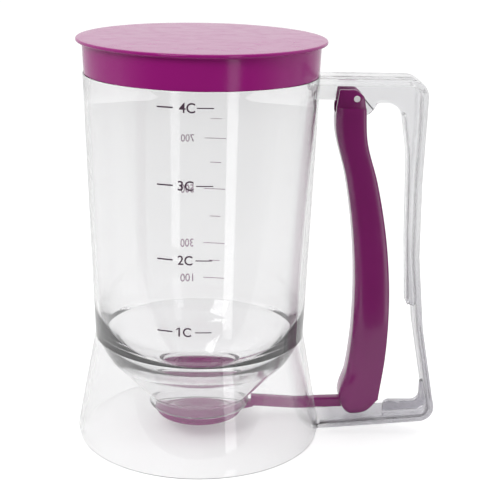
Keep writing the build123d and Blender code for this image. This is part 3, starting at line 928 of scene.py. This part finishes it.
# the letters' outlines as a flat mesh of the given size, its middle at (u, z)
def lettering(work, text, u, z, width, height):
    curve = bpy.data.curves.new("letters", "FONT")
    curve.body = text
    curve.align_x, curve.align_y = "CENTER", "CENTER"
    curve.resolution_u = scale["curve"]
    curve.offset = scale["heavy"]
    thing = bpy.data.objects.new("letters", curve)
    scene.collection.objects.link(thing)
    bpy.context.view_layer.update()
    mesh = bpy.data.meshes.new_from_object(thing)
    co = np.zeros(len(mesh.vertices) * 3)
    mesh.vertices.foreach_get("co", co)
    co = co.reshape(-1, 3)
    low, high = co[:, :2].min(0), co[:, :2].max(0)
    co[:, :2] = (co[:, :2] - (low + high) / 2) / (high - low) * np.array([width, height]) + np.array([u, z])
    mesh.vertices.foreach_set("co", co.ravel())
    work.from_mesh(mesh)
    bpy.data.objects.remove(thing)


# a printed stroke of the given thickness from (u0, z0) to (u1, z1)
def stroke(work, u0, z0, u1, z1, thick):
    along = np.array([u1 - u0, z1 - z0]) / math.hypot(u1 - u0, z1 - z0)
    side = np.array([-along[1], along[0]]) * thick / 2
    a, b = np.array([u0, z0]), np.array([u1, z1])
    work.faces.new([work.verts.new((*p, 0)) for p in (a - side, b - side, b + side, a + side)])


cupScale = {
    "marks": (("4C", 163.2, -5.9, 6.6), ("3C", 130.7, -6.3, 6.6), ("2C", 98.3, -6.4, 6.3),
              ("1C", 65.75, -6.4, 5.5)),
    "height": 4.2, "left": (-18.5, -11.7), "right": (-2.0, 5.0), "leftThick": 0.62, "rightThick": 0.45,
    "flag": (-10.1, 66.7, -9.0, 67.6), "facing": -90.0,
}

mlScale = {
    "marks": (("700", 130.2), ("500", 104.5), ("300", 76.8), ("100", 58.6)),
    "ticks": (144.6, 117.8, 90.6, 67.8), "textU": 7.0, "width": 6.8, "height": 4.3,
    "long": (-12.5, -1.5), "short": (-10.1, -4.4), "thick": 0.4, "facing": 90.0,
}


# cup lines: each number between two strokes, and a small flag above the lowest
def cupMarks(work):
    for text, z, u, width in cupScale["marks"]:
        lettering(work, text, u, z, width, cupScale["height"])
        for side, thick in (("left", cupScale["leftThick"]), ("right", cupScale["rightThick"])):
            stroke(work, cupScale[side][0], z, cupScale[side][1], z, thick)
    stroke(work, *cupScale["flag"], cupScale["rightThick"])


# millilitre lines: long strokes with a number, and short ones between them
def mlMarks(work):
    for text, z in mlScale["marks"]:
        lettering(work, text, mlScale["textU"], z, mlScale["width"], mlScale["height"])
        stroke(work, mlScale["long"][0], z, mlScale["long"][1], z, mlScale["thick"])
    for z in mlScale["ticks"]:
        stroke(work, mlScale["short"][0], z, mlScale["short"][1], z, mlScale["thick"])


# marks drawn flat by the given function, then laid round the wall
def printedScale(name, drawMarks, facing, ink):
    work = bmesh.new()
    drawMarks(work)
    mesh = bpy.data.meshes.new("marks")
    work.to_mesh(mesh)
    work.free()
    wrapped(name, mesh, facing, ink)


printedScale("cup_scale", cupMarks, cupScale["facing"], mottled("frontInk"))
printedScale("ml_scale", mlMarks, mlScale["facing"], mottled("backInk"))
print("scales made")


# floor, light and camera

floorLook = {
    "half": 4.0, "front": -0.15, "height": -0.0002, "colour": 0.82, "glow": 0.45, "glowThrough": 0.22,
}


# a pale sheet with its own glow, most for the eye and less through clear plastic, so that it stays white
# and keeps the shadow
def floorPiece():
    half, front, z = floorLook["half"], floorLook["front"], floorLook["height"]
    mesh = bpy.data.meshes.new("floor")
    corners = [(-half, front, z), (half, front, z), (half, half, z), (-half, half, z)]
    mesh.from_pydata(corners, [], [(0, 1, 2, 3)])
    thing = bpy.data.objects.new("floor", mesh)
    scene.collection.objects.link(thing)
    material, tree, shader = newMaterial("floorPaper")
    shader.inputs["Base Color"].default_value = (floorLook["colour"],) * 3 + (1,)
    shader.inputs["Roughness"].default_value = 1.0
    shader.inputs["Specular IOR Level"].default_value = 0.0
    path = tree.nodes.new("ShaderNodeLightPath")
    direct = maths(tree, "MULTIPLY", path.outputs["Is Camera Ray"], floorLook["glow"])
    through = maths(tree, "MAXIMUM", path.outputs["Is Transmission Ray"], path.outputs["Is Glossy Ray"])
    glow = maths(tree, "MULTIPLY_ADD", through, floorLook["glowThrough"], direct)
    shader.inputs["Emission Color"].default_value = (1, 1, 1, 1)
    tree.links.new(glow, shader.inputs["Emission Strength"])
    mesh.materials.append(material)


# the room is white behind and above, and darker on the viewer's side, so that clear edges show
worldLook = {"back": 1.0, "front": 0.15, "through": 0.75, "from": -0.75, "to": 0.1}


# strength: a ramp from front to back, lifted part of the way to white for rays out of the clear plastic
def worldLight():
    world = bpy.data.worlds.new("studio")
    scene.world = world
    world.use_nodes = True
    tree = world.node_tree
    background = tree.nodes["Background"]
    depth = coordinate(tree, "Generated", "Y")
    ramp = ramped(tree, depth, worldLook["from"], worldLook["to"], worldLook["front"], worldLook["back"],
                  "SMOOTHSTEP")
    path = tree.nodes.new("ShaderNodeLightPath")
    lift = maths(tree, "MULTIPLY_ADD", path.outputs["Is Transmission Ray"], worldLook["through"],
                 path.outputs["Is Camera Ray"], clamp=True)
    mix = tree.nodes.new("ShaderNodeMix")
    mix.data_type = "FLOAT"
    mix.inputs[3].default_value = 1.0
    tree.links.new(lift, mix.inputs[0])
    tree.links.new(ramp, mix.inputs[2])
    tree.links.new(mix.outputs[0], background.inputs["Strength"])
    background.inputs["Color"].default_value = (1, 1, 1, 1)


lamps = {
    "windowLight": {"place": (-0.45, -0.75, 0.85), "target": (0.0, 0.0, 0.1),
                    "size": (0.35, 0.5), "power": 4.0},
    "stripLight": {"place": (0.52, -0.92, 0.25), "target": (0.0, 0.0, 0.12),
                   "size": (0.2, 1.4), "power": 1.8},
}


# a soft rectangle of light that looks from its place at its target
def softbox(name, place, target, size, power):
    lamp = bpy.data.lights.new(name, "AREA")
    lamp.shape = "RECTANGLE"
    lamp.size, lamp.size_y = size
    lamp.energy = power
    thing = bpy.data.objects.new(name, lamp)
    thing.location = place
    thing.rotation_euler = (Vector(target) - Vector(place)).to_track_quat("-Z", "Y").to_euler()
    scene.collection.objects.link(thing)


floorPiece()
worldLight()
for name, lamp in lamps.items():
    softbox(name, lamp["place"], lamp["target"], lamp["size"], lamp["power"])


viewer = {
    "place": (0.0, -0.53483, 0.25258), "heading": 2.446, "tilt": -17.1, "roll": 1.239,
    "lens": 87.444, "sensor": 36.0, "nearest": 0.02,
}


# the camera looks along +Y from its place, turned right by its heading and up by its tilt, and rolled left
def cameraPiece():
    data = bpy.data.cameras.new("camera")
    data.lens = viewer["lens"]
    data.sensor_width = viewer["sensor"]
    data.clip_start = viewer["nearest"]
    thing = bpy.data.objects.new("camera", data)
    heading = Matrix.Rotation(-math.radians(viewer["heading"]), 4, "Z")
    tilt = Matrix.Rotation(math.radians(90 + viewer["tilt"]), 4, "X")
    roll = Matrix.Rotation(math.radians(viewer["roll"]), 4, "Z")
    thing.matrix_world = Matrix.Translation(viewer["place"]) @ heading @ tilt @ roll
    scene.collection.objects.link(thing)
    scene.camera = thing


cameraPiece()
scene.view_settings.view_transform = "Standard"
print("scene ready")
